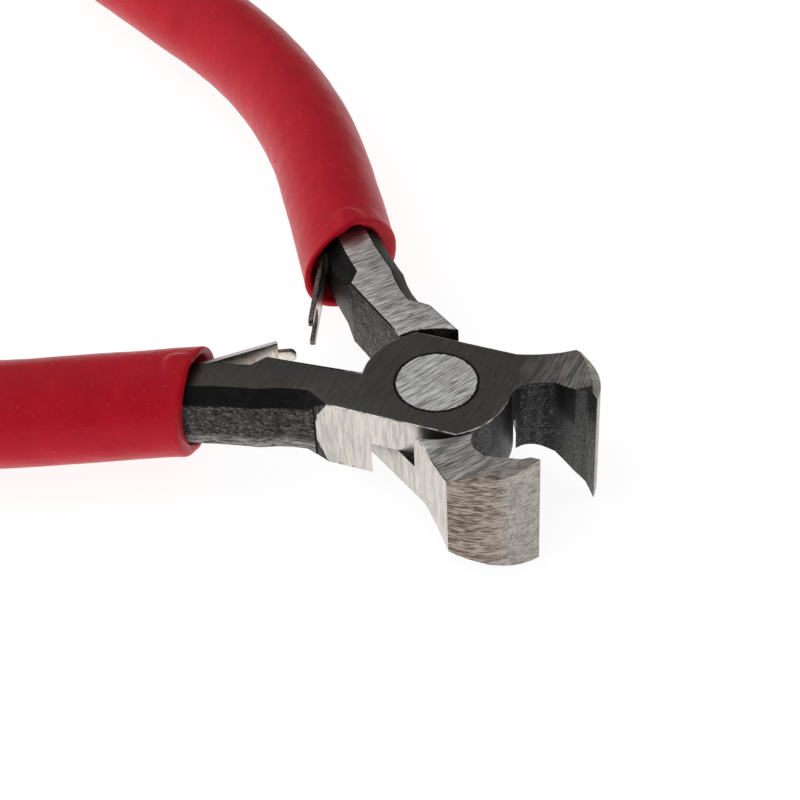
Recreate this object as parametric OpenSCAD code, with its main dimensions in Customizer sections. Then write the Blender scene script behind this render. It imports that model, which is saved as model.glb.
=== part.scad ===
// End cutting nippers: two lapped forged levers on a flush rivet, leaf springs and dipped grips.
// Each half is drawn with the jaws shut: pivot on Z, cutting edge along +X, lap plane at Z zero.

/* [Overall] */
// Length from the cutting edges to the end of the grips with the jaws shut
overall_l = 115; // [105:1:125]
// Angle between the two halves as they lie
open_angle = 34; // [10:1:40]

/* [Joint] */
// Thickness over both laps
joint_t = 8; // [7:0.1:9]
// Diameter of the round lap
disc_d = 14.8; // [14:0.1:15.4]
// Width across the ground side flats
flat_w = 12.3; // [11.5:0.1:12.8]
// Radial gap between a lap and the shoulder around it
shoulder_gap = 0.3; // [0.15:0.05:0.4]
// Gap between the two lap faces
lap_gap = 0.04; // [0.02:0.01:0.1]

/* [Rivet] */
// Diameter of the flush rivet end
rivet_d = 8; // [7:0.1:9]
// Diameter of the rivet shank
rivet_shank_d = 5.6; // [4.8:0.1:6]
// Depth of the coned rivet end
rivet_cone_h = 1.6; // [1.2:0.1:2]
// Radial gap round the rivet where it is fixed
rivet_fit = 0.02; // [0.01:0.01:0.04]
// Radial gap round the rivet where it turns
rivet_run = 0.04; // [0.03:0.01:0.08]

/* [Jaw] */
// Pivot to cutting edge
edge_x = 16; // [15:0.1:17]
// Length of the cutting edge
jaw_w = 14; // [13:0.1:15]
// Gap left between the two edges when shut
edge_gap = 0.06; // [0.04:0.01:0.1]
// Radius of the rounded nose
nose_r = 8.9; // [8.5:0.1:9.4]
// Half width of the jaw at its outer corner
corner_y = 7.6; // [7.2:0.1:7.9]
// Pivot to the start of the widening flank
flank_x = 6.1; // [5.5:0.1:6.5]
// Pivot to the start of the rise towards the edge
flare_x = 7; // [6.5:0.1:7.5]
// Radius of the hollow ground rise
flare_r = 16.5; // [16.2:0.1:20]
// Pivot to the middle of the round throat
throat_x = 10; // [9.8:0.05:10.2]
// Diameter of the round throat
throat_d = 5.5; // [5:0.1:5.6]
// Pivot to the end of the level roof of the throat
roof_x = 11.2; // [10.8:0.1:11.6]
// Pivot to the start of the blade's inner face
face_x = 13.5; // [13.2:0.1:13.8]
// Height of the blade's inner face above the closing plane
face_y = 1.6; // [1.45:0.05:1.75]
// Pivot to the start of the inner edge bevel
bevel_x = 14.8; // [14.5:0.1:15.1]
// Height of the inner edge bevel above the closing plane
bevel_y = 1.2; // [1:0.05:1.35]

/* [Shank] */
// Pivot to the end of the side flat
neck_x = 10.4; // [10:0.1:11]
// Half gap between the two shanks at the neck
neck_in = 1.05; // [0.9:0.05:1.2]
// How far the forged side stands proud of the ground flat
forge_proud = 0.1; // [0.05:0.05:0.2]
// Pivot to the start of the tang
tang_x = 17; // [16.5:0.1:17.5]
// Half gap between the two shanks at the start of the tang
tang_in = 1.7; // [1.55:0.05:1.85]
// Width of the tang
tang_w = 6; // [5.6:0.1:6.2]
// Width of the tang at its end
tang_end_w = 4.6; // [4:0.1:5]
// Thickness of the tang at its end
tang_end_t = 6; // [5:0.1:6.4]
// Size of the forged edge bevels
edge_bevel = 1.33; // [1.1:0.01:1.4]
// Small break left on the unbevelled edges
edge_break = 0.06; // [0.04:0.01:0.1]

/* [Handle line] */
// Slope of the tang where it starts
slope_start = 10; // [8:0.5:12]
// Radius of the outward bend
bow_out_r = 50; // [46:1:56]
// Steepest slope of the handle
slope_max = 23.8; // [22:0.1:25]
// Straight run between the two bends
straight_l = 10; // [8:0.5:12]
// Radius of the inward bend
bow_in_r = 66; // [60:1:75]
// Slope of the handle at its end, turned inwards
slope_end = 5; // [3:0.5:7]

/* [Grip] */
// Width of the grip
grip_w = 10.4; // [10:0.1:11]
// Thickness of the grip
grip_t = 11; // [10.6:0.1:11.6]
// Start of the tang to the grip mouth, along the handle
mouth_s = 6.7; // [6.6:0.1:7]
// Slope of the plane of the mouth
mouth_slope = 5; // [3:0.5:7]
// Swell of the mouth on the spring side
mouth_swell = 0.85; // [0.7:0.05:0.9]
// Length over which the mouth swells
swell_l = 7; // [6:0.5:9]
// Thickness of the lip at the mouth
lip_t = 0.8; // [0.7:0.05:0.85]
// Depth of the hollow behind the lip
lip_depth = 4.2; // [4:0.1:5]
// Gap between grip and tang
grip_fit = 0.1; // [0.06:0.02:0.2]
// Vinyl beyond the end of the tang
grip_end_t = 2.5; // [2:0.1:3]
// Start of the tang to the raised spot behind the mouth, along the handle
bump_s = 7.9; // [7.6:0.1:8.4]
// Rise of the raised spot
bump_h = 0.25; // [0.2:0.05:0.35]
// Radius to which the raised spot is rounded
bump_r = 4; // [3.6:0.1:4.4]

/* [Springs] */
// Width of a leaf spring
leaf_w = 3.8; // [3.4:0.1:4.2]
// Thickness of a leaf spring
leaf_t = 0.5; // [0.4:0.05:0.6]
// Angle between the free leaf and the tang
leaf_angle = 21; // [18:0.5:22]
// Length of the free leaf at full width
leaf_l = 10.2; // [9.6:0.1:10.8]
// Run of the leaf along the tang before it lifts
heel_l = 0.6; // [0.4:0.1:1]
// Length of the tongue
tongue_l = 1.9; // [1.5:0.1:2.2]
// Width of the tongue
tongue_w = 1.4; // [1.2:0.1:1.6]
// Angle by which the tongue is set back
tongue_angle = 16; // [10:1:20]
// Width of the slot in the forked leaf
slot_w = 1.9; // [1.8:0.1:2.1]
// Length of the slot in the forked leaf
slot_l = 3.2; // [2.5:0.1:4]
// Extra length of the forked leaf
fork_l = 1.3; // [1:0.1:1.6]
// Gap round a leaf in its groove
groove_gap = 0.12; // [0.08:0.02:0.2]

/* [Spring pins] */
// Diameter of a spring pin
pin_d = 1.6; // [1.4:0.1:1.8]
// How far a pin stands out of the tang
pin_out = 0.4; // [0.3:0.05:0.5]
// Start of the tang to the pin, along the handle
pin_s = 9; // [8.6:0.1:9.1]
// Gap round a pin
pin_fit = 0.03; // [0.02:0.01:0.05]

/* [Roundness] */
// Sides of round features
round_n = 64; // [48:8:96]
// Sides of a grip section
grip_n = 24; // [20:2:28]

/* [Hidden] */
$fn = round_n;
deg = 180 / PI;
disc_r = disc_d / 2;
lap_r = disc_r + shoulder_gap;
half_t = joint_t / 2;
half_flat = flat_w / 2;
half_jaw = jaw_w / 2;
half_tang = tang_w / 2;
nose_x = edge_x - nose_r;
corner_x = nose_x + sqrt(nose_r * nose_r - corner_y * corner_y);
// Cut sizes that only have to run past the solid
past = joint_t;

// Middle of the wheel that grinds the rise from the joint face to the edge
rise_chord = norm([edge_x - flare_x, half_jaw - half_t]);
rise_dir = atan2(half_jaw - half_t, edge_x - flare_x);
rise_drop = sqrt(flare_r * flare_r - rise_chord * rise_chord / 4);
wheel_x = (edge_x + flare_x) / 2 - rise_drop * sin(rise_dir);
wheel_z = (half_jaw + half_t) / 2 + rise_drop * cos(rise_dir);

// Handle line: an outward bend, a straight, an inward bend and a straight to the end
line_start = [half_tang * sin(slope_start) - tang_x, -half_tang * cos(slope_start) - tang_in];
out_s = bow_out_r * (slope_max - slope_start) / deg;
in_s = out_s + straight_l;
level_s = in_s + bow_in_r * (slope_max + slope_end) / deg;

function out_pt(a) = line_start + bow_out_r * [sin(slope_start) - sin(a), cos(a) - cos(slope_start)];
function run_pt(d) = out_pt(slope_max) - d * [cos(slope_max), sin(slope_max)];
function in_pt(a) = run_pt(straight_l) + bow_in_r * [sin(a) - sin(slope_max), cos(slope_max) - cos(a)];
function line_slope(s) =
    s < out_s ? slope_start + s / bow_out_r * deg :
    s < in_s ? slope_max :
    s < level_s ? slope_max - (s - in_s) / bow_in_r * deg : -slope_end;
function line_pt(s) =
    s < out_s ? out_pt(line_slope(s)) :
    s < in_s ? run_pt(s - out_s) :
    s < level_s ? in_pt(line_slope(s)) :
    in_pt(-slope_end) + (s - level_s) * [-cos(slope_end), sin(slope_end)];
// Unit vector across the handle, towards the other handle
function inward(a) = [-sin(a), cos(a)];

level_x = in_pt(-slope_end)[0];
grip_end_x = edge_x - overall_l;
grip_end_s = level_s + (level_x - grip_end_x) / cos(slope_end);
tang_end_s = grip_end_s - grip_end_t;

// Sections of the handle and the grip
run_x = neck_x - edge_bevel;
root_share = 0.5;
side_out = half_flat + forge_proud;
tang_outer = line_start - half_tang * inward(slope_start);
tang_inner = line_start + half_tang * inward(slope_start);
function mix(a, b, t) = a + (b - a) * t;
function ease(t) = t <= 0 ? 0 : t >= 1 ? 1 : t * t * (3 - 2 * t);

// Eight sided section between an outer and an inner point, with bevels of its own on each side
function section(po, pi, hz, co, ci) =
    let (w = norm(pi - po), e = (pi - po) / w,
         v = [0, co, w - ci, w, w, w - ci, co, 0],
         z = [hz - co, hz, hz, hz - ci, ci - hz, -hz, -hz, co - hz])
    [for (i = [7:-1:0]) [po[0] + e[0] * v[i], po[1] + e[1] * v[i], z[i]]];

function wall_y(x) = -mix(neck_in, -tang_inner[1], (-x - disc_r) / (-tang_inner[0] - disc_r));
function shank_out(t) = [-mix(neck_x, -tang_outer[0], t), -mix(side_out, -tang_outer[1], t * t)];
function shank_in(t) =
    let (x = -mix(neck_x, -tang_inner[0], t))
    [x, wall_y(x)];
function tang_share(s) = s <= 0 ? 0 : s / tang_end_s;
function tang_ring(s, grow, ci) =
    let (a = line_slope(s), p = line_pt(s), k = tang_share(s),
         hw = mix(tang_w, tang_end_w, k) / 2 + grow,
         hz = mix(joint_t, tang_end_t, k) / 2 + grow)
    section(p - hw * inward(a), p + hw * inward(a), hz, edge_bevel, ci);

bevel_shares = [0.17, 0.45, 0.72];
tang_steps = 26;
tang_first = edge_bevel;
shank_rings = concat(
    [for (x = [disc_r * root_share, run_x])
        section([-x, -side_out], [-x, wall_y(-x)], half_t, edge_break, edge_break)],
    [for (t = bevel_shares) section(shank_out(t), shank_in(t), half_t, edge_bevel, edge_break)]);
tang_rings = concat(shank_rings, [tang_ring(0, 0, edge_break)],
    [for (i = [0:tang_steps]) tang_ring(mix(tang_first, tang_end_s, i / tang_steps), 0, edge_bevel)]);
bore_rings =
    [for (i = [0:tang_steps]) tang_ring(mix(mouth_s - lip_depth, tang_end_s + grip_fit, i / tang_steps),
        grip_fit, edge_bevel)];

// Grip section: half an ellipse on each side of the handle line
function oval(p, a, wi, wo, hz) =
    [for (i = [0:grip_n - 1])
        let (t = i * 360 / grip_n, v = cos(t) * (cos(t) > 0 ? wi : wo), e = inward(a))
        [p[0] + e[0] * v, p[1] + e[1] * v, hz * sin(t)]];
function swell(s) = pow(max(0, 1 - (s - mouth_s) / swell_l), 2);
function mouth_turn(s) = mix(mouth_slope, line_slope(s), ease((s - mouth_s) / swell_l));
function grip_ring(s, inset) =
    let (w = grip_w / 2 - inset, h = grip_t / 2 - inset, k = swell(max(s, mouth_s)))
    oval(line_pt(s), mouth_turn(s), w + mouth_swell * k, w, h);
lip_r = lip_t / 2;
lip_turns = [0, 45];
mouth_steps = 5;
grip_steps = 17;
end_turns = [0, 25, 45, 62, 76, 85];
end_r = grip_w / 2;
lip_s = mouth_s + lip_r;
swell_s = mouth_s + swell_l;
round_s = grip_end_s - end_r;
function end_ring(t) =
    let (s = round_s + end_r * sin(t), k = cos(t), w = grip_w / 2 * k)
    oval(line_pt(s), line_slope(s), w, w, grip_t / 2 * k);
grip_rings = concat(
    [for (t = lip_turns) grip_ring(mouth_s + lip_r * (1 - cos(t)), lip_r * (1 - sin(t)))],
    [for (i = [0:mouth_steps - 1]) grip_ring(mix(lip_s, swell_s, i / mouth_steps), 0)],
    [for (i = [0:grip_steps - 1]) grip_ring(mix(swell_s, round_s, i / grip_steps), 0)],
    [for (t = end_turns) end_ring(t)]);
hollow_out = half_tang + lip_r;
hollow_steps = 4;
hollow_rings = [for (i = [0:hollow_steps])
    let (s = mix(mouth_s - lip_t, mouth_s + lip_depth, i / hollow_steps))
    oval(line_pt(s), mouth_turn(s), grip_w / 2 + mouth_swell * swell(max(s, mouth_s)) - lip_t,
        hollow_out, grip_t / 2 - lip_t)];

// Spring eye and pin
eye_r = pin_d / 2 + pin_fit + leaf_t;
pin_slope = line_slope(pin_s);
pin_pt = line_pt(pin_s) + (half_tang - eye_r) * inward(pin_slope);
pin_half = mix(joint_t, tang_end_t, tang_share(pin_s)) / 2 + pin_out;
heel_low = [heel_l, eye_r - leaf_t];
heel_top = heel_low + leaf_t * [-tan(leaf_angle / 2), 1];
leaf_dir = [cos(leaf_angle), sin(leaf_angle)];
leaf_end = heel_top + leaf_l * leaf_dir;
groove_l = heel_l + leaf_t / tan(leaf_angle) + leaf_t;

// Skin through a row of rings
module skin(rings) {
    n = len(rings[0]);
    m = len(rings);
    sides = [for (i = [0:m - 2], j = [0:n - 1])
        let (a = i * n + j, b = i * n + (j + 1) % n) each [[a, b, b + n], [a, b + n, a + n]]];
    first = [for (j = [n - 1:-1:0]) j];
    last = [for (j = [0:n - 1]) (m - 1) * n + j];
    polyhedron(points = [for (r = rings) each r], faces = concat(sides, [first], [last]));
}

// Lap disc with its two ground flats
module lap_plan() {
    intersection() {
        circle(r = disc_r);
        square([disc_d, flat_w], center = true);
    }
}

// Jaw seen along the pivot: rounded nose, widening flank, roofed throat, inner face and edge bevel
module jaw_plan() {
    difference() {
        intersection() {
            translate([nose_x, 0]) circle(r = nose_r);
            polygon([[0, edge_gap / 2], [edge_x, edge_gap / 2], [edge_x, corner_y], [corner_x, corner_y],
                [flank_x, half_flat], [0, half_flat]]);
        }
        translate([throat_x, 0]) circle(d = throat_d);
        polygon([[throat_x, 0], [throat_x, throat_d / 2], [roof_x, throat_d / 2], [face_x, face_y],
            [bevel_x, bevel_y], [edge_x, edge_gap / 2], [edge_x, 0]]);
    }
}

// Blade end of the jaw, hollow ground from the joint thickness up to the full edge length
module blade() {
    difference() {
        translate([0, 0, -half_jaw]) linear_extrude(jaw_w) intersection() {
            jaw_plan();
            translate([flare_x - shoulder_gap, 0]) square([edge_x, edge_x]);
        }
        for (side = [-1, 1])
            translate([wheel_x, 0, side * wheel_z]) rotate([90, 0, 0])
                cylinder(r = flare_r, h = 2 * edge_x, center = true);
    }
}

// Rivet body, grown by a gap for the hole it sits in
module rivet_form(gap) {
    r = rivet_d / 2 + gap;
    rs = rivet_shank_d / 2 + gap;
    z = half_t - rivet_cone_h;
    rotate_extrude() polygon([[0, -half_t], [r, -half_t], [rs, -z], [rs, z], [r, half_t], [0, half_t]]);
}

// Groove for the leaf, pocket for its eye and hole for the pin
module spring_seat() {
    w = leaf_w + 2 * groove_gap;
    translate([pin_pt[0], pin_pt[1], 0]) {
        rotate([0, 0, pin_slope]) {
            translate([0, 0, -w / 2]) linear_extrude(w) {
                circle(r = eye_r + groove_gap);
                translate([0, eye_r - leaf_t - groove_gap]) square([groove_l, tang_w]);
                translate([-eye_r - groove_gap, 0]) square([eye_r + groove_gap, tang_w]);
            }
        }
        cylinder(r = pin_d / 2 + pin_fit, h = 2 * joint_t, center = true);
    }
}

module half(rivet_gap) {
    difference() {
        union() {
            translate([0, 0, -half_t]) linear_extrude(joint_t) {
                lap_plan();
                jaw_plan();
            }
            blade();
            skin(tang_rings);
        }
        translate([0, 0, lap_gap / 2 - past]) cylinder(r = lap_r, h = past);
        translate([-neck_x, -half_flat - past, -past]) cube([neck_x, past, 2 * past]);
        rivet_form(rivet_gap);
        spring_seat();
    }
}

// Rolled eye, heel and free leaf up to the given length
module leaf(free_l) {
    linear_extrude(leaf_w, center = true) {
        difference() {
            circle(r = eye_r);
            circle(r = pin_d / 2 + pin_fit);
        }
        polygon([[0, eye_r - leaf_t], heel_low, heel_low + leaf_t * leaf_dir, heel_top + leaf_t * leaf_dir,
            heel_top, [0, eye_r]]);
    }
    translate([heel_top[0], heel_top[1], 0]) rotate([90, 0, leaf_angle]) linear_extrude(leaf_t)
        difference() {
            translate([0, -leaf_w / 2]) square([free_l, leaf_w]);
            children();
        }
}

module at_pin() {
    translate([pin_pt[0], pin_pt[1], 0]) rotate([0, 0, pin_slope]) children();
}

module tongue() {
    run = tongue_l - tongue_w / 2;
    translate([leaf_end[0], leaf_end[1], 0]) rotate([90, 0, leaf_angle - tongue_angle])
        linear_extrude(leaf_t) {
            translate([-leaf_t, -tongue_w / 2]) square([run + leaf_t, tongue_w]);
            translate([run, 0]) circle(d = tongue_w);
        }
}

module fork_slot() {
    x = leaf_l + fork_l - slot_l + slot_w / 2;
    translate([x, 0]) circle(d = slot_w);
    translate([x, -slot_w / 2]) square([slot_l, slot_w]);
}

module spring_pin() {
    translate([pin_pt[0], pin_pt[1], 0]) cylinder(d = pin_d, h = 2 * pin_half, center = true);
}

module grip() {
    bump_pt = line_pt(bump_s);
    bump_z = grip_t / 2 + bump_h - bump_r;
    difference() {
        union() {
            skin(grip_rings);
            for (side = [-1, 1]) translate([bump_pt[0], bump_pt[1], side * bump_z]) sphere(r = bump_r);
        }
        skin(bore_rings);
        skin(hollow_rings);
        translate([pin_pt[0], pin_pt[1], 0])
            cylinder(r = pin_d / 2 + grip_fit, h = 2 * (pin_half + grip_fit), center = true);
    }
}

// Resting places of the two halves
module place_upper() {
    translate([0, 0, half_t]) rotate([0, 0, open_angle / 2]) children();
}

module place_lower() {
    translate([0, 0, half_t]) rotate([180, 0, open_angle / -2]) children();
}

module upper_half() {
    color("#6a6c70") place_upper() half(rivet_fit);
}

module lower_half() {
    color("#7c7e82") place_lower() half(rivet_run);
}

module pivot_rivet() {
    color("#b8babd") translate([0, 0, half_t]) rivet_form(0);
}

module upper_spring() {
    color("#c8c4ba") place_upper() at_pin() {
        leaf(leaf_l);
        tongue();
    }
}

module lower_spring() {
    color("#c8c4ba") place_lower() at_pin() leaf(leaf_l + fork_l) fork_slot();
}

module upper_spring_pin() {
    color("#9a9ca0") place_upper() spring_pin();
}

module lower_spring_pin() {
    color("#9a9ca0") place_lower() spring_pin();
}

module upper_grip() {
    color("#b01020") place_upper() grip();
}

module lower_grip() {
    color("#b01020") place_lower() grip();
}

upper_half();
lower_half();
pivot_rivet();
upper_spring();
lower_spring();
upper_spring_pin();
lower_spring_pin();
upper_grip();
lower_grip();
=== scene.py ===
"""Looks of the end cutting nippers: ground and blackened levers, leaf springs and dipped grips."""
import math

import bmesh
import bpy
from mathutils import Matrix, Vector, noise


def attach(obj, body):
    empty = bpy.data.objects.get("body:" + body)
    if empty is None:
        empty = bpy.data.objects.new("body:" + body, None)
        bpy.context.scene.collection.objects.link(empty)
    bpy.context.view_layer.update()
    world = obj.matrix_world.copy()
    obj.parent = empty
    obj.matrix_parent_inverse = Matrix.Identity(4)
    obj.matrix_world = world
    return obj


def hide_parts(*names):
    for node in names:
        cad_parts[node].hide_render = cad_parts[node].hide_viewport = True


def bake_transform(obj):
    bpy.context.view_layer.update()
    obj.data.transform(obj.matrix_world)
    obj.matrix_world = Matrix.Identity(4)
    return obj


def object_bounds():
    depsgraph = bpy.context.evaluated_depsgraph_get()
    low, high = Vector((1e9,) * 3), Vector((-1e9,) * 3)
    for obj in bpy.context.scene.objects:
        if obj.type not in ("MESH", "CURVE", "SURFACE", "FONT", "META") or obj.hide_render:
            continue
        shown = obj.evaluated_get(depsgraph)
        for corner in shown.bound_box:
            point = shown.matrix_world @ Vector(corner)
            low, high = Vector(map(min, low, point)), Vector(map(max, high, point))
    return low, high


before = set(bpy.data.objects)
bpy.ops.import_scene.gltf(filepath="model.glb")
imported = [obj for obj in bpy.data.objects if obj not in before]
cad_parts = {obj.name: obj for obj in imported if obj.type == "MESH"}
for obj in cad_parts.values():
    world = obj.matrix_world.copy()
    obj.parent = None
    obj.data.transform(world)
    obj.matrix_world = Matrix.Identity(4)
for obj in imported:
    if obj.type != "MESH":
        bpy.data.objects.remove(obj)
CAD_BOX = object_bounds()
MM = 0.001

# Each half is worked on in its own frame, in millimetres: jaws shut along +X, lap plane at Z zero
HALF_OPEN = math.radians(17)
HALF_T = 4.0
LIFT = Matrix.Translation((0, 0, HALF_T * MM))
PLACE = {
    "upper": LIFT @ Matrix.Rotation(HALF_OPEN, 4, "Z"),
    "lower": LIFT @ Matrix.Rotation(-HALF_OPEN, 4, "Z") @ Matrix.Rotation(math.pi, 4, "X"),
}


class Shader:
    """A small builder for one procedural material in the frame of the piece, in millimetres."""

    def __init__(self, name):
        self.material = bpy.data.materials.new(name)
        self.material.use_nodes = True
        self.tree = self.material.node_tree
        self.bsdf = self.tree.nodes["Principled BSDF"]
        self.place = self.add("ShaderNodeTexCoord").outputs["Object"]
        self.split = None

    def add(self, kind, inputs=None, **settings):
        node = self.tree.nodes.new(kind)
        for key, value in settings.items():
            setattr(node, key, value)
        for socket, value in (inputs or {}).items():
            self.feed(node.inputs[socket], value)
        return node

    def feed(self, socket, value):
        if isinstance(value, bpy.types.NodeSocket):
            self.tree.links.new(value, socket)
        else:
            socket.default_value = value

    def math(self, operation, a, b=0.0, c=0.0):
        return self.add("ShaderNodeMath", {0: a, 1: b, 2: c}, operation=operation).outputs[0]

    def axis(self, index):
        """One coordinate of the shaded point, in millimetres."""
        if self.split is None:
            self.split = self.add("ShaderNodeSeparateXYZ", {0: self.place})
        return self.math("DIVIDE", self.split.outputs[index], MM)

    def noise(self, cells, detail=2.0, rough=0.5, turn=0.0):
        """Noise with cells per millimetre along each axis, after a turn in degrees about Z."""
        place = self.place
        if turn:
            settings = {"Vector": place, "Angle": math.radians(turn)}
            place = self.add("ShaderNodeVectorRotate", settings, rotation_type="Z_AXIS").outputs[0]
        if not isinstance(cells, tuple):
            cells = (cells, cells, cells)
        scale = [c / MM for c in cells]
        place = self.add("ShaderNodeMapping", {"Vector": place, "Scale": scale}).outputs[0]
        settings = {"Vector": place, "Scale": 1.0, "Detail": detail, "Roughness": rough}
        return self.add("ShaderNodeTexNoise", settings).outputs["Fac"]

    def span(self, value, low, high, to_low=0.0, to_high=1.0):
        """Moves a value from one span to another, with flat ends."""
        settings = {0: value, 1: low, 2: high, 3: to_low, 4: to_high}
        return self.add("ShaderNodeMapRange", settings).outputs[0]

    def mix(self, share, a, b):
        node = self.add("ShaderNodeMix", {"Factor": share}, data_type="RGBA")
        self.feed(node.inputs[6], tone(a))
        self.feed(node.inputs[7], tone(b))
        return node.outputs[2]

    def finish(self, colour, metallic, roughness, height=None, depth=0.0):
        self.feed(self.bsdf.inputs["Base Color"], tone(colour))
        self.feed(self.bsdf.inputs["Metallic"], metallic)
        self.feed(self.bsdf.inputs["Roughness"], roughness)
        if height is not None:
            settings = {"Height": height, "Distance": depth * MM, "Strength": 1.0}
            bump = self.add("ShaderNodeBump", settings)
            self.feed(self.bsdf.inputs["Normal"], bump.outputs[0])
        return self.material


def tone(value):
    if isinstance(value, bpy.types.NodeSocket):
        return value
    if isinstance(value, float):
        value = (value, value, value)
    return (*value, 1.0)


def grey(level, warm=0.03):
    """A steel grey, a little warmer than neutral."""
    return (level * (1 + warm), level, level * (1 - warm))


def grinding(s, cells, turn=0.0):
    """Fine grinding lines with slow changes from stroke to stroke, from 0 to 1."""
    lines = s.noise(cells, 2.0, 0.6, turn)
    strokes = s.noise(tuple(c * 0.25 for c in cells), 1.0, 0.5, turn)
    share = s.math("MULTIPLY_ADD", strokes, 0.25, s.math("MULTIPLY", lines, 0.75))
    return lines, s.span(share, 0.41, 0.59)


RING = (3.9, 4.16)
RING_FADE = 0.05
SHANK_FADE = (-9.2, -8.4)


def rivet_ring(s, inner, outer):
    """Share of the dark, uneven line round the rivet, between two radii."""
    x_part = s.math("POWER", s.axis(0), 2.0)
    y_part = s.math("POWER", s.axis(1), 2.0)
    reach = s.math("SQRT", s.math("ADD", x_part, y_part))
    reach = s.math("MULTIPLY_ADD", s.noise(2.6, 3.0, 0.6), 0.36, s.math("SUBTRACT", reach, 0.18))
    past_inner = s.span(reach, inner - RING_FADE, inner)
    short_of_outer = s.span(reach, outer + RING_FADE, outer)
    return s.math("MULTIPLY", past_inner, short_of_outer)


def disc_face():
    """Darkened satin face of the round lap, paler towards the cutting edge."""
    s = Shader("disc_face")
    x = s.axis(0)
    y = s.axis(1)
    lines, share = grinding(s, (6.0, 0.45, 2.0), 6)
    cloud = s.noise(0.5, 3.0)
    dark = s.mix(share, grey(0.070, 0.08), grey(0.094, 0.08))
    pale = s.mix(share, grey(0.11, 0.06), grey(0.38, 0.05))
    rise = s.math("MULTIPLY", s.span(x, 6.0, 14.5), s.span(cloud, 0.3, 0.6, 0.55, 1.0))
    colour = s.mix(rise, dark, pale)
    scuffs = s.span(s.noise((1.2, 3.5, 1.0), 2.0, 0.6, 35), 0.70, 0.76, 0.0, 0.35)
    colour = s.mix(scuffs, colour, grey(0.30))
    inner = s.span(s.math("MULTIPLY_ADD", cloud, 0.5, y), 2.2, 1.9)
    tip = s.math("MULTIPLY", s.span(x, 13.3, 13.7), inner)
    colour = s.mix(tip, colour, grey(0.020))
    colour = s.mix(rivet_ring(s, *RING), colour, grey(0.012))
    return s.finish(colour, 1.0, s.span(share, 0.0, 1.0, 0.46, 0.40), lines, 0.008)


def plain_face():
    """Pale ground face of the other side, cross-wise lines, smudged towards the nose."""
    s = Shader("plain_face")
    x = s.axis(0)
    lines, share = grinding(s, (6.0, 0.55, 2.0), -8)
    cloud = s.noise(0.6, 3.0, 0.6)
    colour = s.mix(share, grey(0.26), grey(0.80))
    jaw = s.mix(share, grey(0.20, 0.05), grey(0.70, 0.05))
    colour = s.mix(s.span(x, 6.2, 8.5), colour, jaw)
    front = s.math("MULTIPLY", s.span(x, 12.0, 14.0), s.span(cloud, 0.48, 0.60))
    colour = s.mix(s.math("MULTIPLY", front, 0.7), colour, grey(0.09))
    colour = s.mix(rivet_ring(s, *RING), colour, grey(0.012))
    return s.finish(colour, 1.0, s.span(share, 0.0, 1.0, 0.42, 0.34), lines, 0.016)


def side_flat():
    """Bright ground side with upright marks, ragged where the forged skin begins."""
    s = Shader("side_flat")
    x = s.axis(0)
    z = s.axis(2)
    lines, share = grinding(s, (4.0, 4.0, 0.4))
    colour = s.mix(share, grey(0.48, 0.07), grey(0.66, 0.07))
    ragged = s.noise(1.0, 5.0, 0.65)
    curve = s.math("MULTIPLY", s.math("MULTIPLY", z, z), 0.09)
    border = s.math("ADD", curve, s.span(ragged, 0.2, 0.8, -10.75, -10.2))
    skin = s.span(s.math("SUBTRACT", x, border), 0.10, 0.0)
    high = s.math("MULTIPLY", s.span(s.math("ABSOLUTE", z), 3.5, 3.95), s.span(ragged, 0.54, 0.60))
    nicks = s.math("MAXIMUM", skin, s.math("MULTIPLY", high, s.span(x, 1.0, -6.0, 0.1, 0.8)))
    colour = s.mix(nicks, colour, s.mix(share, grey(0.025, 0.0), grey(0.075, 0.0)))
    return s.finish(colour, 1.0, s.span(share, 0.0, 1.0, 0.40, 0.32), lines, 0.010)


def nose_face():
    """Rounded front: streaks round the curve, brownish towards the corner, cooler near the edge."""
    s = Shader("nose_face")
    y = s.axis(1)
    lines, share = grinding(s, (0.9, 0.9, 6.0))
    cross = grinding(s, (4.0, 4.0, 2.5), 20)[1]
    cloud = s.noise((0.5, 0.5, 0.8), 3.0)
    brown = s.mix(share, (0.120, 0.092, 0.073), (0.43, 0.355, 0.305))
    cool = s.mix(s.math("MULTIPLY_ADD", share, 0.5, s.math("MULTIPLY", cross, 0.5)),
                 (0.20, 0.180, 0.162), (0.47, 0.43, 0.395))
    turn = s.span(s.math("MULTIPLY_ADD", cloud, 1.8, y), 4.2, 5.4)
    colour = s.mix(turn, cool, brown)
    return s.finish(colour, 1.0, s.span(share, 0.0, 1.0, 0.42, 0.33), lines, 0.018)


def throat_wall():
    """Blackened inside of the jaws, pitted, with upright bands and a darker patch near the top."""
    s = Shader("throat_wall")
    bands = s.noise((0.9, 0.9, 0.05), 2.0)
    pits = s.noise(4.5, 3.0, 0.6)
    colour = s.mix(s.span(bands, 0.38, 0.62), grey(0.010, 0.02), grey(0.070, 0.02))
    colour = s.mix(s.span(pits, 0.56, 0.64, 0.0, 0.6), colour, grey(0.14, 0.02))
    colour = s.mix(s.span(pits, 0.45, 0.40), colour, grey(0.004, 0.0))
    x = s.axis(0)
    near = s.span(s.noise(5.0, 3.0, 0.6), 0.42, 0.56, 0.0, 0.55)
    colour = s.mix(s.math("MULTIPLY", s.span(x, 13.4, 13.5), near), colour, grey(0.12, 0.02))
    # Darker patch over the upper part of the wall, between x 11 and 13.5
    dark_patch_x = s.math("MULTIPLY", s.span(x, 11.0, 11.4), s.span(x, 13.5, 13.4))
    high = s.span(s.math("MULTIPLY_ADD", bands, 2.0, s.axis(2)), 1.6, 2.6)
    share = s.math("MULTIPLY", s.math("MULTIPLY", dark_patch_x, high), 0.9)
    colour = s.mix(share, colour, grey(0.006, 0.0))
    return s.finish(colour, 0.8, s.span(bands, 0.3, 0.7, 0.36, 0.5), pits, 0.03)


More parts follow.
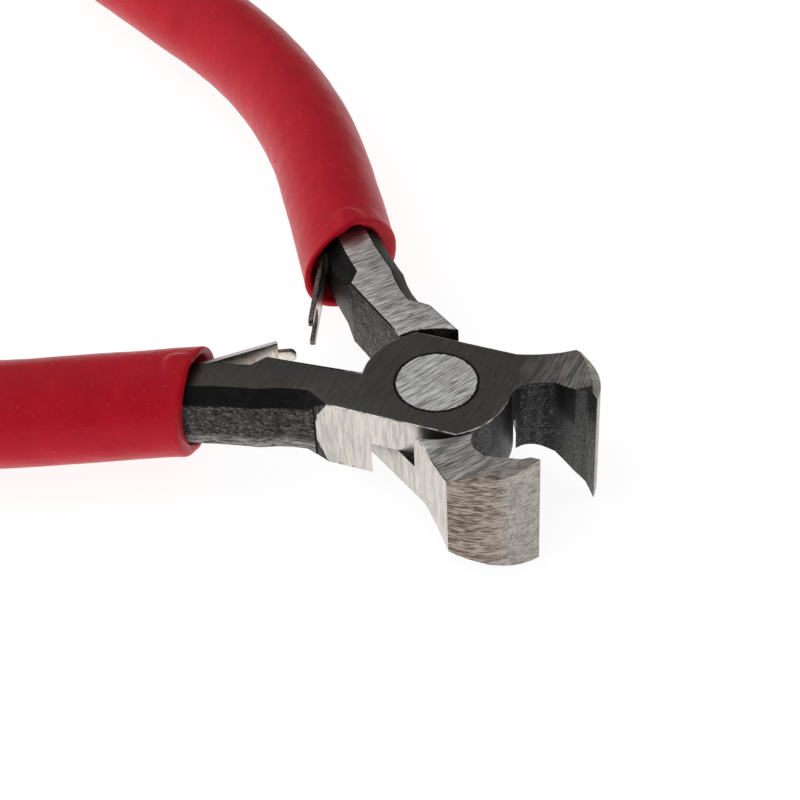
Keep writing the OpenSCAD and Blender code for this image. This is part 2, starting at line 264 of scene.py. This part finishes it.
def edge_bevel():
    """Ground strip along the cutting edge, spotted with dark pits."""
    s = Shader("edge_bevel")
    lines, share = grinding(s, (4.0, 4.0, 0.4))
    pits = s.noise(3.0, 4.0, 0.65)
    colour = s.mix(share, grey(0.045), grey(0.15))
    colour = s.mix(s.span(pits, 0.50, 0.56, 0.0, 0.9), colour, grey(0.008, 0.0))
    return s.finish(colour, 1.0, 0.42, pits, 0.02)


def worn_edge():
    """Broken edges: bright and patchy on the joint, duller on the jaws, dark along the shank."""
    s = Shader("worn_edge")
    x = s.axis(0)
    patch = s.noise(1.1, 3.0, 0.6)
    bright = s.math("MULTIPLY", s.span(patch, 0.40, 0.58, 0.2, 1.0), s.span(x, *SHANK_FADE))
    bright = s.math("MULTIPLY", bright, s.span(x, 8.5, 6.5, 0.2, 1.0))
    colour = s.mix(bright, grey(0.008), grey(0.80))
    s.bsdf.inputs["Specular IOR Level"].default_value = 0.10
    return s.finish(colour, s.span(x, *SHANK_FADE), s.span(patch, 0.3, 0.7, 0.34, 0.46))


def oxide_band():
    """Smooth black bevel of the shank."""
    s = Shader("oxide_band")
    cloud = s.noise((0.7, 1.5, 1.5), 3.0)
    grain = s.noise(5.0, 3.0)
    colour = s.mix(s.span(cloud, 0.35, 0.7), grey(0.003, 0.03), grey(0.009, 0.03))
    s.bsdf.inputs["Specular IOR Level"].default_value = 0.10
    return s.finish(colour, 0.0, s.span(grain, 0.3, 0.7, 0.42, 0.56), grain, 0.010)


def forged_skin():
    """Dark forging skin: fine grain, drawn-out marks, and painted light in paler streaks along the
    lower outer edge.
    """
    s = Shader("forged_skin")
    y = s.axis(1)
    z = s.axis(2)
    grain = s.noise((2.2, 3.0, 3.0), 5.0, 0.75)
    drawn = s.noise((0.45, 2.5, 3.5), 3.0, 0.6)
    patch = s.noise(0.8, 3.0, 0.6)
    share = s.math("MULTIPLY_ADD", drawn, 0.25, s.math("MULTIPLY", grain, 0.75))
    colour = s.mix(s.span(share, 0.42, 0.58), grey(0.005, 0.05), grey(0.105, 0.05))
    colour = s.mix(s.span(patch, 0.40, 0.60, 0.35, 0.0), colour, grey(0.022, 0.05))
    colour = s.mix(s.span(grain, 0.58, 0.66, 0.0, 0.5), colour, grey(0.30, 0.05))
    # Painted light: the lower outer strip is made paler, broken into streaks, for the light falling
    # on it
    low = s.span(s.math("MULTIPLY_ADD", patch, 1.2, z), -0.5, -1.3)
    outer = s.span(y, -3.5, -4.5)
    streaks = s.span(s.noise((0.3, 4.0, 4.5), 3.0, 0.65), 0.40, 0.60, 0.1, 1.0)
    pale = s.math("MULTIPLY", s.math("MULTIPLY", low, outer), streaks)
    colour = s.mix(pale, colour, grey(0.34, 0.03))
    return s.finish(colour, 0.85, s.span(share, 0.3, 0.7, 0.56, 0.42), share, 0.06)


def rivet_face():
    """Flush rivet end, brushed one way, with an uneven dark rim."""
    s = Shader("rivet_face")
    lines, share = grinding(s, (0.55, 6.0, 2.0), -75)
    colour = s.mix(share, grey(0.34, 0.04), grey(0.98, 0.0))
    colour = s.mix(rivet_ring(s, 3.93, 4.5), colour, grey(0.02))
    return s.finish(colour, 1.0, s.span(share, 0.0, 1.0, 0.42, 0.34), lines, 0.016)


def rivet_rim():
    """Dark line of dirt and old oil round the rivet."""
    s = Shader("rivet_rim")
    patch = s.noise(2.5, 3.0)
    return s.finish(s.mix(patch, grey(0.004), grey(0.020)), 0.4, s.span(patch, 0.3, 0.7, 0.4, 0.6))


def spring_strip():
    """Flat of the spring strip: warm and bright in the middle, tarnished towards its edges."""
    s = Shader("spring_strip")
    mottle = s.noise(1.3, 4.0, 0.65)
    lines = s.noise((0.5, 0.5, 6.0), 2.0)
    off = s.math("ABSOLUTE", s.math("SUBTRACT", s.axis(2), HALF_T))
    off = s.math("MULTIPLY_ADD", mottle, 1.5, off)
    clean = s.mix(s.span(mottle, 0.40, 0.62), (0.74, 0.63, 0.53), (1.0, 0.92, 0.83))
    colour = s.mix(s.span(off, 1.5, 2.5), clean, (0.17, 0.15, 0.13))
    return s.finish(colour, 1.0, s.span(lines, 0.3, 0.7, 0.24, 0.36), lines, 0.004)


def spring_edge_highlight():
    """Sheared edge of the spring strip, painted near white as a highlight."""
    s = Shader("spring_edge_highlight")
    marks = s.noise((5.0, 5.0, 0.5), 2.0)
    # Painted highlight: near-white colour on the sheared edges
    colour = s.mix(marks, grey(0.75), grey(0.98))
    return s.finish(colour, 0.2, s.span(marks, 0.3, 0.7, 0.4, 0.5), marks, 0.006)


def spring_burr():
    """Sheared edge left rough: brown and mottled."""
    s = Shader("spring_burr")
    marks = s.noise(2.2, 4.0, 0.7)
    colour = s.mix(s.span(marks, 0.38, 0.62), (0.050, 0.040, 0.032), (0.34, 0.28, 0.24))
    colour = s.mix(s.span(marks, 0.64, 0.70, 0.0, 0.7), colour, (0.80, 0.74, 0.68))
    return s.finish(colour, 0.7, s.span(marks, 0.3, 0.7, 0.36, 0.5), marks, 0.03)


def spring_rim_dark_reflection():
    """Painted dark reflection along the rounded rim between the strip's flat and its edge."""
    s = Shader("spring_rim_dark_reflection")
    patch = s.noise(1.5, 3.0)
    # Painted reflection: dark colour on the rounded rim in place of a dark reflection
    colour = s.mix(s.span(patch, 0.4, 0.65), grey(0.020), grey(0.16))
    return s.finish(colour, 0.6, s.span(patch, 0.3, 0.7, 0.36, 0.5))


def pin_steel():
    """Drawn wire with fine lengthwise lines."""
    s = Shader("pin_steel")
    lines, share = grinding(s, (6.0, 6.0, 0.3))
    return s.finish(s.mix(share, grey(0.30), grey(0.45)), 1.0, 0.36, lines, 0.006)


def vinyl_skin():
    """Dipped vinyl: satin skin with orange peel, faint clouds, hair scratches and a little dust."""
    s = Shader("vinyl_skin")
    peel = s.noise(2.0, 4.0, 0.65)
    skin = s.math("MULTIPLY_ADD", s.noise(0.45, 2.0), 3.0, peel)
    cloud = s.noise(0.22, 4.0, 0.6)
    dust = s.span(s.noise(4.0, 1.0, 0.4), 0.72, 0.78, 0.0, 0.14)
    hair = s.span(s.noise((0.35, 5.0, 5.0), 1.0, 0.5, 25), 0.735, 0.76, 0.0, 0.16)
    colour = s.mix(s.span(cloud, 0.3, 0.7), (0.51, 0.003, 0.016), (0.60, 0.005, 0.020))
    colour = s.mix(s.span(peel, 0.35, 0.65, 0.0, 0.22), colour, (0.40, 0.002, 0.012))
    colour = s.mix(s.math("MAXIMUM", dust, hair), colour, (0.75, 0.30, 0.32))
    s.bsdf.inputs["Specular IOR Level"].default_value = 0.15
    s.bsdf.inputs["Subsurface Weight"].default_value = 0.12
    s.bsdf.inputs["Subsurface Radius"].default_value = (1.0, 0.15, 0.1)
    s.bsdf.inputs["Subsurface Scale"].default_value = 1.0 * MM
    return s.finish(colour, 0.0, s.span(peel, 0.3, 0.7, 0.28, 0.40), skin, 0.032)


LOOKS = {make.__name__: make() for make in (
    disc_face, plain_face, side_flat, nose_face, throat_wall, edge_bevel, worn_edge, oxide_band,
    forged_skin, rivet_face, rivet_rim, spring_strip, spring_edge_highlight, spring_burr, spring_rim_dark_reflection,
    pin_steel, vinyl_skin)}


# Levers and rivet: the solids with their sharp edges broken and each face given its finish
SAME_POINT = 0.001
SAME_PLANE = math.radians(0.4)
SHARP = math.radians(24)
BEVEL_STEPS = 2


def copy_of(node, name, place):
    """A loose copy of a solid's mesh in the frame of its own half, with flat areas joined up."""
    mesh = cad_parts[node].data.copy()
    mesh.name = name
    mesh.transform(place.inverted())
    mesh.materials.clear()
    bm = bmesh.new()
    bm.from_mesh(mesh)
    bmesh.ops.remove_doubles(bm, verts=bm.verts, dist=SAME_POINT * MM)
    bmesh.ops.dissolve_limit(bm, angle_limit=SAME_PLANE, verts=bm.verts, edges=bm.edges)
    return mesh, bm


def add_piece(name, mesh, place, looks):
    piece = bpy.data.objects.new(name, mesh)
    bpy.context.collection.objects.link(piece)
    piece.matrix_world = place
    for look in looks:
        mesh.materials.append(LOOKS[look])
    return piece


def break_edges(piece, bm, width, share_of, look):
    """Rounds the sharp edges: share_of gives an edge its share of the width, look a finish."""
    layer = bm.edges.layers.float.new("bevel_weight_edge")
    for edge in bm.edges:
        if len(edge.link_faces) == 2 and edge.calc_face_angle(0) > SHARP:
            edge[layer] = share_of(edge)
    bm.to_mesh(piece.data)
    bm.free()
    bevel = piece.modifiers.new("bevel", "BEVEL")
    bevel.limit_method = "WEIGHT"
    bevel.width = width * MM
    bevel.segments = BEVEL_STEPS
    bevel.loop_slide = False
    bevel.use_clamp_overlap = False
    bevel.material = piece.data.materials.find(look)


def settle(piece):
    """Fixes the modifiers into the mesh and shades it smooth up to an angle."""
    graph = bpy.context.evaluated_depsgraph_get()
    made = bpy.data.meshes.new_from_object(piece.evaluated_get(graph))
    rough = piece.data
    piece.modifiers.clear()
    piece.data = made
    bpy.data.meshes.remove(rough)
    made.name = piece.name
    made.polygons.foreach_set("use_smooth", [True] * len(made.polygons))
    made.set_sharp_from_angle(angle=SHARP)


def stands_for(node):
    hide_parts(node)


EDGE_BREAK = 0.09
RIM_BREAK = 0.06
HALF_FLAT = 6.15
FLARE_X = 6.5
FLARE_R = 16.5
NOSE_X = 7.1
NOSE_R = 8.9
NOSE_BREAK = 0.5
NOSE_SLANT = 1.6
NOSE_CUTS = 12
NOSE_STEP = math.radians(4.8)
CORNER_X = 11.7
THROAT_START = 6.6
THROAT_SIDE = 5.0
THROAT_EDGE = -1.0
SLANT_W = 1.0
BORE_RIM = 0.3
RIVET_R = 4.0
CUT_SLACK = 0.0005
SLANT_JOIN = 0.02
TOP = {"upper": 1, "lower": -1}
BEVEL_X = 14.8
SHANK_X = -9.0
FACES_UP = 0.6
FACE_SHARE = 0.6
NEAR = 0.5
FLAT_SLACK = 0.05
LIES_FLAT = 0.95
LEANS = 0.12
FACES_SIDE = 0.8
FACES_FRONT = 0.3
NOSE_SKIN = 0.4
FLAT_RUN = 1.6
THROAT_RUN = 2.0
BEVEL_SIDE = 2.0
FINISHES = ["disc_face", "plain_face", "side_flat", "nose_face", "throat_wall", "edge_bevel",
            "worn_edge", "oxide_band", "forged_skin"]


def nose_reach(x, y):
    """Distance from the middle of the rounded nose."""
    return math.hypot(x - NOSE_X, y)


def finish_of(face):
    """The finish of a lever's face, from its place and direction in the frame of its half."""
    n = face.normal
    x, y, z = face.calc_center_median() / MM
    up = abs(n.z) > FACES_UP and abs(z) > FACE_SHARE * HALF_T
    if up and (x > FLARE_X - NEAR or abs(n.z) > LIES_FLAT):
        return "disc_face" if n.z > 0 else "plain_face"
    if x > CORNER_X and nose_reach(x, y) > NOSE_R - NOSE_SKIN and n.x > FACES_FRONT:
        return "nose_face"
    if x > SHANK_X - FLAT_RUN and abs(y) > HALF_FLAT - FLAT_SLACK and abs(n.y) > FACES_SIDE:
        return "side_flat"
    if x > BEVEL_X and y < BEVEL_SIDE:
        return "edge_bevel"
    if x > SHANK_X + THROAT_RUN:
        return "throat_wall"
    return "oxide_band" if LEANS < abs(n.z) < LIES_FLAT else "forged_skin"


def jaw_top(x):
    """Height of the flared upper face of the jaw."""
    return HALF_T + FLARE_R - math.sqrt(FLARE_R ** 2 - (x - FLARE_X) ** 2)


def trim_nose(bm, top):
    """Grinds a slant along the upper edge of the nose, broadest half-way round it."""
    for i in range(1, NOSE_CUTS):
        turn = NOSE_STEP * i
        reach = NOSE_R - NOSE_BREAK * math.sin(math.pi * i / NOSE_CUTS)
        way = Vector((math.cos(turn), math.sin(turn), 0))
        at = Vector((NOSE_X, 0, 0)) + reach * way
        at.z = top * jaw_top(at.x)
        slant = way + Vector((0, 0, top * NOSE_SLANT))
        made = bmesh.ops.bisect_plane(bm, geom=bm.verts[:] + bm.edges[:] + bm.faces[:],
                                      dist=CUT_SLACK * MM, plane_co=at * MM, plane_no=slant,
                                      clear_outer=True)
        rim = [item for item in made["geom_cut"] if isinstance(item, bmesh.types.BMEdge)]
        filled = bmesh.ops.edgeloop_fill(bm, edges=rim)
        for face in filled["faces"]:
            face.material_index = FINISHES.index("nose_face")
    bmesh.ops.remove_doubles(bm, verts=bm.verts, dist=SLANT_JOIN * MM)
    bmesh.ops.recalc_face_normals(bm, faces=bm.faces)


def lever(side):
    node = side + "_half"
    mesh, bm = copy_of(node, side + "_lever", PLACE[side])
    for face in bm.faces:
        face.material_index = FINISHES.index(finish_of(face))
    trim_nose(bm, TOP[side])

    def share_of(edge):
        """Only rims of the flat faces are broken, not the slant, throat, bore or lap."""
        x, y, z = (edge.verts[0].co + edge.verts[1].co) / (2 * MM)
        throat = x > THROAT_START and THROAT_EDGE < y < THROAT_SIDE
        front = x > CORNER_X - NEAR and nose_reach(x, y) > NOSE_R - SLANT_W
        slant = front and TOP[side] * z > HALF_T
        bore = abs(math.hypot(x, y) - RIVET_R) < BORE_RIM
        inside = abs(z) < HALF_T - NEAR and x > SHANK_X
        return 0.0 if throat or slant or bore or inside else 1.0

    piece = add_piece(side + "_lever", mesh, PLACE[side], FINISHES)
    break_edges(piece, bm, EDGE_BREAK, share_of, "worn_edge")
    settle(piece)
    stands_for(node)
    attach(piece, side)


def rivet():
    mesh, bm = copy_of("pivot_rivet", "rivet", LIFT)
    piece = add_piece("rivet", mesh, LIFT, ["rivet_face", "rivet_rim"])
    break_edges(piece, bm, RIM_BREAK, lambda edge: 1.0, "rivet_rim")
    settle(piece)
    stands_for("pivot_rivet")
    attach(piece, "upper")


# Handle line: an outward bend, a straight, an inward bend and a straight, as in the solids
TANG_START = Vector((-17.0, -1.7))
HALF_TANG = 3.0
SLOPE_START = math.radians(10)
SLOPE_MAX = math.radians(23.8)
SLOPE_END = math.radians(-5)
BOW_OUT_R = 50.0
BOW_IN_R = 66.0
STRAIGHT_L = 10.0
GRIP_END_X = -99.0
OUT_S = BOW_OUT_R * (SLOPE_MAX - SLOPE_START)
IN_S = OUT_S + STRAIGHT_L
LEVEL_S = IN_S + BOW_IN_R * (SLOPE_MAX - SLOPE_END)


def inward(a):
    """Unit vector across the handle, towards the other handle."""
    return Vector((-math.sin(a), math.cos(a)))


def along(a):
    """Unit vector along the handle, away from the pivot."""
    return Vector((-math.cos(a), -math.sin(a)))


LINE_START = TANG_START - HALF_TANG * inward(SLOPE_START)
RUN_START = LINE_START + BOW_OUT_R * (inward(SLOPE_MAX) - inward(SLOPE_START))
IN_START = RUN_START + STRAIGHT_L * along(SLOPE_MAX)
LEVEL_START = IN_START + BOW_IN_R * (inward(SLOPE_MAX) - inward(SLOPE_END))
GRIP_END_S = LEVEL_S + (LEVEL_START.x - GRIP_END_X) / math.cos(SLOPE_END)


def line_slope(s):
    if s < OUT_S:
        return SLOPE_START + s / BOW_OUT_R
    if s < IN_S:
        return SLOPE_MAX
    return max(SLOPE_MAX - (s - IN_S) / BOW_IN_R, SLOPE_END)


def line_point(s):
    a = line_slope(s)
    if s < OUT_S:
        return LINE_START + BOW_OUT_R * (inward(a) - inward(SLOPE_START))
    if s < IN_S:
        return RUN_START + (s - OUT_S) * along(a)
    if s < LEVEL_S:
        return IN_START + BOW_IN_R * (inward(SLOPE_MAX) - inward(a))
    return LEVEL_START + (s - LEVEL_S) * along(a)


# Grips: hollow vinyl sleeves with a rounded mouth, a pocket for the spring and a closed end
GRIP_W = 10.4
GRIP_T = 11.0
MOUTH_S = 6.7
MOUTH_SLOPE = math.radians(5)
MOUTH_SWELL = 0.85
SWELL_L = 7.0
LIP_T = 0.8
LIP_R = LIP_T / 2
POCKET_L = 4.2
POCKET_OUT = HALF_TANG + LIP_R
GRIP_FIT = 0.1
GRIP_END_T = 2.5
TANG_END_S = GRIP_END_S - GRIP_END_T
TANG_END_HALF = (2.3, 3.0)
TANG_BEVEL = 1.33
SIDES = 72
END_R = GRIP_W / 2
UNEVEN = 0.05
BUMP_S = 7.9
BUMP_AT = line_point(BUMP_S)
BUMP_H = 0.30
BUMP_R = 1.7
BUMP_EDGE = 0.6
BUMP_FROM = 1.8
BUMP_TO = 4.8
WAVE_CELLS = 0.35
WAVE_RISE = 0.5
BORE_ROWS = 30
POCKET_ROWS = 8
LIP_ROWS = 12
SWELL_ROWS = 26
SKIN_ROWS = 70
END_ROWS = 14
END_TURN = math.radians(88)
SLEEVE_SHARP = math.radians(40)


def ease(t):
    t = min(max(t, 0.0), 1.0)
    return t * t * (3 - 2 * t)


def mouth_turn(s):
    k = ease((s - MOUTH_S) / SWELL_L)
    return MOUTH_SLOPE + (line_slope(s) - MOUTH_SLOPE) * k


def swell(s):
    return MOUTH_SWELL * max(0.0, 1 - max(s - MOUTH_S, 0) / SWELL_L) ** 2


def ring(s, turn, reach):
    """One section across the handle: reach gives the width and height at each angle round it."""
    middle = line_point(s)
    points = []
    for i in range(SIDES):
        v, z = reach(2 * math.pi * i / SIDES)
        p = middle + v * inward(turn)
        points.append(Vector((p.x, p.y, z)))
    return points


def oval(inner, outer, height):
    return lambda t: (math.cos(t) * (inner if math.cos(t) > 0 else outer), height * math.sin(t))


def outer_ring(s):
    w = GRIP_W / 2
    return ring(s, mouth_turn(s), oval(w + swell(s), w, GRIP_T / 2))


def pocket_ring(s):
    inner = GRIP_W / 2 + swell(s) - LIP_T
    return ring(s, mouth_turn(s), oval(inner, POCKET_OUT, GRIP_T / 2 - LIP_T))


def bore_ring(s):
    k = s / TANG_END_S
    hw = HALF_TANG + (TANG_END_HALF[0] - HALF_TANG) * k + GRIP_FIT
    hz = HALF_T + (TANG_END_HALF[1] - HALF_T) * k + GRIP_FIT

    def reach(t):
        c = math.cos(t)
        z = math.sin(t)
        r = 1 / max(abs(c) / hw, abs(z) / hz, (abs(c) + abs(z)) / (hw + hz - TANG_BEVEL))
        return r * c, r * z

    return ring(s, line_slope(s), reach)


def lip_ring(t):
    """Rounded rim: from the pocket wall at 0 to the outer skin at 1."""
    s = MOUTH_S + LIP_R * (1 - math.sin(math.pi * t))
    k = (1 - math.cos(math.pi * t)) / 2
    return [a.lerp(b, k) for a, b in zip(pocket_ring(s), outer_ring(s))]


def end_ring(t):
    s = GRIP_END_S - END_R + END_R * math.sin(t)
    half = GRIP_W / 2 * math.cos(t)
    return ring(s, line_slope(s), oval(half, half, GRIP_T / 2 * math.cos(t)))


def spread(start, end, count):
    return [start + (end - start) * i / count for i in range(count)]


def dipped(p, seed):
    """A point of the skin with the unevenness of a dipped coat and the bump by the spring pin."""
    rise = BUMP_H * ease((BUMP_R - (Vector((p.x, p.y)) - BUMP_AT).length) / BUMP_EDGE)
    rise *= ease((abs(p.z) - BUMP_FROM) / (BUMP_TO - BUMP_FROM))
    wave = UNEVEN * noise.noise(p * WAVE_CELLS + Vector((seed, 0, 0)))
    return p + Vector((0, wave, math.copysign(rise, p.z) + wave * WAVE_RISE))


def grip_mesh(name, seed):
    """The sleeve as rows of points: along bore and pocket, over the lip, back along the skin."""
    floor_s = MOUTH_S + POCKET_L
    lip_s = MOUTH_S + LIP_R
    swell_s = MOUTH_S + SWELL_L
    inside = [bore_ring(s) for s in spread(TANG_END_S + GRIP_FIT, floor_s, BORE_ROWS)]
    inside.append(bore_ring(floor_s))
    inside += [pocket_ring(s) for s in spread(floor_s, lip_s, POCKET_ROWS)]
    skin = [lip_ring(t) for t in spread(0, 1, LIP_ROWS)]
    skin += [outer_ring(s) for s in spread(lip_s, swell_s, SWELL_ROWS)]
    skin += [outer_ring(s) for s in spread(swell_s, GRIP_END_S - END_R, SKIN_ROWS)]
    skin += [end_ring(t) for t in spread(0, END_TURN, END_ROWS)]
    skin = [[dipped(p, seed) for p in points] for points in skin]
    bm = bmesh.new()
    rows = [[bm.verts.new(p * MM) for p in points] for points in inside + skin]
    for a, b in zip(rows, rows[1:]):
        for i in range(SIDES):
            j = (i + 1) % SIDES
            bm.faces.new((a[i], a[j], b[j], b[i]))
    bm.faces.new(rows[0])
    bm.faces.new(list(reversed(rows[-1])))
    bmesh.ops.recalc_face_normals(bm, faces=bm.faces)
    mesh = bpy.data.meshes.new(name)
    bm.to_mesh(mesh)
    bm.free()
    mesh.polygons.foreach_set("use_smooth", [True] * len(mesh.polygons))
    mesh.set_sharp_from_angle(angle=SLEEVE_SHARP)
    return mesh


def grip(side, seed):
    name = side + "_sleeve"
    piece = add_piece(name, grip_mesh(name, seed), PLACE[side], ["vinyl_skin"])
    stands_for(side + "_grip")
    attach(piece, side)


# Springs: the leaves with rounded edges, cut across so that they can bend as the handles close
LEAF_CUTS = 14
LEAF_BREAK = 0.07
TIP_L = 0.7
TIP_R = 0.55
TIP_TURNS = [math.radians(a) for a in (18, 36, 54, 72)]
PIN_S = 9.0
LEAF_ANGLE = math.radians(21)
LEAF_L = 10.2
LEAF_REACH = 11.6
LEAF_SLACK = 0.0001
EDGE_UP = 0.3
EDGE_AHEAD = 0.7
LEAF_LOOKS = ["spring_strip", "spring_edge_highlight", "spring_burr", "spring_rim_dark_reflection"]


def spring(side):
    slope = line_slope(PIN_S)
    root = line_point(PIN_S) + HALF_TANG * inward(slope)
    heading = -along(slope + LEAF_ANGLE)
    mesh, bm = copy_of(side + "_spring", side + "_leaf", PLACE[side])
    round_tongue(bm, heading)
    for face in bm.faces:
        edge_face = abs(face.normal.z) > EDGE_UP or face.normal.xy.dot(heading) > EDGE_AHEAD
        tongue = (face.calc_center_median().xy / MM - root).dot(heading) > LEAF_L
        # Sheared edges of the upper leaf outside the tongue take the painted highlight
        edge_look = "spring_burr" if tongue or side == "lower" else "spring_edge_highlight"
        look = edge_look if edge_face else "spring_strip"
        face.material_index = LEAF_LOOKS.index(look)
    piece = add_piece(side + "_leaf", mesh, PLACE[side], LEAF_LOOKS)
    # The rounded rims take the painted dark reflection
    break_edges(piece, bm, LEAF_BREAK, lambda edge: 1.0, "spring_rim_dark_reflection")
    settle(piece)
    cut_across(piece.data, root, heading)
    stands_for(side + "_spring")
    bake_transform(piece)


def round_tongue(bm, heading):
    """Rounds the end of the tongue with a few cuts at each corner."""
    reach = max(v.co.xy.dot(heading) for v in bm.verts)
    tongue = [v for v in bm.verts if v.co.xy.dot(heading) > reach - TIP_L * MM]
    half = max(abs(v.co.z) for v in tongue)
    for side in (1, -1):
        for turn in TIP_TURNS:
            way = (heading * math.cos(turn)).to_3d()
            way.z = side * math.sin(turn)
            at = (heading * (reach - TIP_R * MM)).to_3d()
            at.z = side * (half - TIP_R * MM)
            near = [v for v in bm.verts if v.co.xy.dot(heading) > reach - TIP_L * MM]
            near += [e for e in bm.edges if any(v in near for v in e.verts)]
            edges = [e for e in near if isinstance(e, bmesh.types.BMEdge)]
            faces = list(dict.fromkeys(f for e in edges for f in e.link_faces))
            made = bmesh.ops.bisect_plane(bm, geom=near + faces, dist=CUT_SLACK * MM,
                                          plane_co=at + way * TIP_R * MM, plane_no=way,
                                          clear_outer=True)
            rim = [item for item in made["geom_cut"] if isinstance(item, bmesh.types.BMEdge)]
            bmesh.ops.edgeloop_fill(bm, edges=rim)


def cut_across(mesh, root, heading):
    """Cuts the leaf into short lengths without taking anything off."""
    bm = bmesh.new()
    bm.from_mesh(mesh)
    for i in range(LEAF_CUTS):
        at = root + heading * LEAF_REACH * i / LEAF_CUTS
        bmesh.ops.bisect_plane(bm, geom=bm.verts[:] + bm.edges[:] + bm.faces[:],
                               dist=LEAF_SLACK * MM, plane_co=at.to_3d() * MM,
                               plane_no=heading.to_3d())
    bm.to_mesh(mesh)
    bm.free()


def pin_look(side):
    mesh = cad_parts[side + "_spring_pin"].data
    mesh.materials.clear()
    mesh.materials.append(LOOKS["pin_steel"])


rivet()
for side, seed in (("upper", 3.0), ("lower", 41.0)):
    lever(side)
    spring(side)
    pin_look(side)
    grip(side, seed)


# Stage: camera at the photo's angle, pale floor and soft studio light
PHOTO_PITCH = math.radians(44.5)
PHOTO_TURN = math.radians(39.1)
PHOTO_ROLL = math.radians(2.9)
CAMERA_PLACE = Vector((88.9, -115.1, 148.7))
LENS = 94.5
SENSOR = 36.0
CLIP = (0.001, 20.0)


def ahead_of(turn, pitch):
    """The way a camera looks after a turn about Z and a tilt below the horizon."""
    level = math.cos(pitch)
    return Vector((-math.sin(turn) * level, math.cos(turn) * level, -math.sin(pitch)))


def add_camera():
    ahead = ahead_of(PHOTO_TURN, PHOTO_PITCH)
    right = Vector((math.cos(PHOTO_TURN), math.sin(PHOTO_TURN), 0))
    up = right.cross(ahead)
    c = math.cos(PHOTO_ROLL)
    s = math.sin(PHOTO_ROLL)
    basis = Matrix((c * right - s * up, s * right + c * up, -ahead)).transposed().to_4x4()
    lens = bpy.data.cameras.new("camera")
    lens.lens = LENS
    lens.sensor_width = SENSOR
    lens.clip_start, lens.clip_end = CLIP
    camera = bpy.data.objects.new("camera", lens)
    camera.matrix_world = Matrix.Translation(CAMERA_PLACE * MM) @ basis
    bpy.context.collection.objects.link(camera)
    bpy.context.scene.camera = camera


ROOM_LIGHT = 0.36
KEY_LIGHT = 0.95
KEY_WAY = Vector((-0.42, -0.70, 0.55)).normalized()
KEY_SPAN = (0.0, 0.8)
OPENING = 0.55
OPENING_SPAN = (0.45, 0.92)
SOFTBOX_SIZE = (1.3, 0.9)
SOFTBOX_POWER = 1.5
FLOOR_REACH = 2.0
FLOOR_DROP = 0.02
FLOOR_TONE = 0.22
FLOOR_ROUGH = 0.9
FLOOR_GLOW = 0.89


def add_world():
    """White tent, brighter on one side and darker round the direction the photo was taken from."""
    world = bpy.data.worlds.new("studio")
    world.use_nodes = True
    nodes = world.node_tree.nodes
    links = world.node_tree.links
    place = nodes.new("ShaderNodeTexCoord")

    def level(way, cosines, strengths):
        """Goes from one strength to another between two cosines off a direction."""
        facing = nodes.new("ShaderNodeVectorMath")
        facing.operation = "DOT_PRODUCT"
        facing.inputs[1].default_value = way
        links.new(place.outputs["Generated"], facing.inputs[0])
        span = nodes.new("ShaderNodeMapRange")
        span.interpolation_type = "SMOOTHSTEP"
        for socket, value in zip(span.inputs[1:5], cosines + strengths):
            socket.default_value = value
        links.new(facing.outputs["Value"], span.inputs[0])
        return span.outputs[0]

    both = nodes.new("ShaderNodeMath")
    both.operation = "MULTIPLY"
    key = level(KEY_WAY, KEY_SPAN, (ROOM_LIGHT, KEY_LIGHT))
    opening = level(-ahead_of(PHOTO_TURN, PHOTO_PITCH), OPENING_SPAN, (1.0, OPENING))
    links.new(key, both.inputs[0])
    links.new(opening, both.inputs[1])
    links.new(both.outputs[0], nodes["Background"].inputs["Strength"])
    nodes["Background"].inputs["Color"].default_value = (1, 1, 1, 1)
    bpy.context.scene.world = world


def add_softbox(name, place, size, power):
    light = bpy.data.lights.new(name, "AREA")
    light.shape = "RECTANGLE"
    light.size, light.size_y = size
    light.energy = power
    box = bpy.data.objects.new(name, light)
    box.location = place
    box.rotation_euler = (-place).to_track_quat("-Z", "Y").to_euler()
    box.visible_camera = False
    bpy.context.collection.objects.link(box)


def add_floor():
    z = CAD_BOX[0].z - FLOOR_DROP * MM
    signs = ((-1, -1), (1, -1), (1, 1), (-1, 1))
    corners = [(x * FLOOR_REACH, y * FLOOR_REACH, z) for x, y in signs]
    mesh = bpy.data.meshes.new("floor")
    mesh.from_pydata(corners, [], [(0, 1, 2, 3)])
    s = Shader("floor_paint")
    s.bsdf.inputs["Emission Color"].default_value = (1, 1, 1, 1)
    s.bsdf.inputs["Emission Strength"].default_value = FLOOR_GLOW
    mesh.materials.append(s.finish(FLOOR_TONE, 0.0, FLOOR_ROUGH))
    floor = bpy.data.objects.new("floor", mesh)
    bpy.context.collection.objects.link(floor)


add_camera()
add_world()
add_softbox("softbox", KEY_WAY, SOFTBOX_SIZE, SOFTBOX_POWER)
add_floor()
bpy.context.scene.view_settings.view_transform = "Standard"
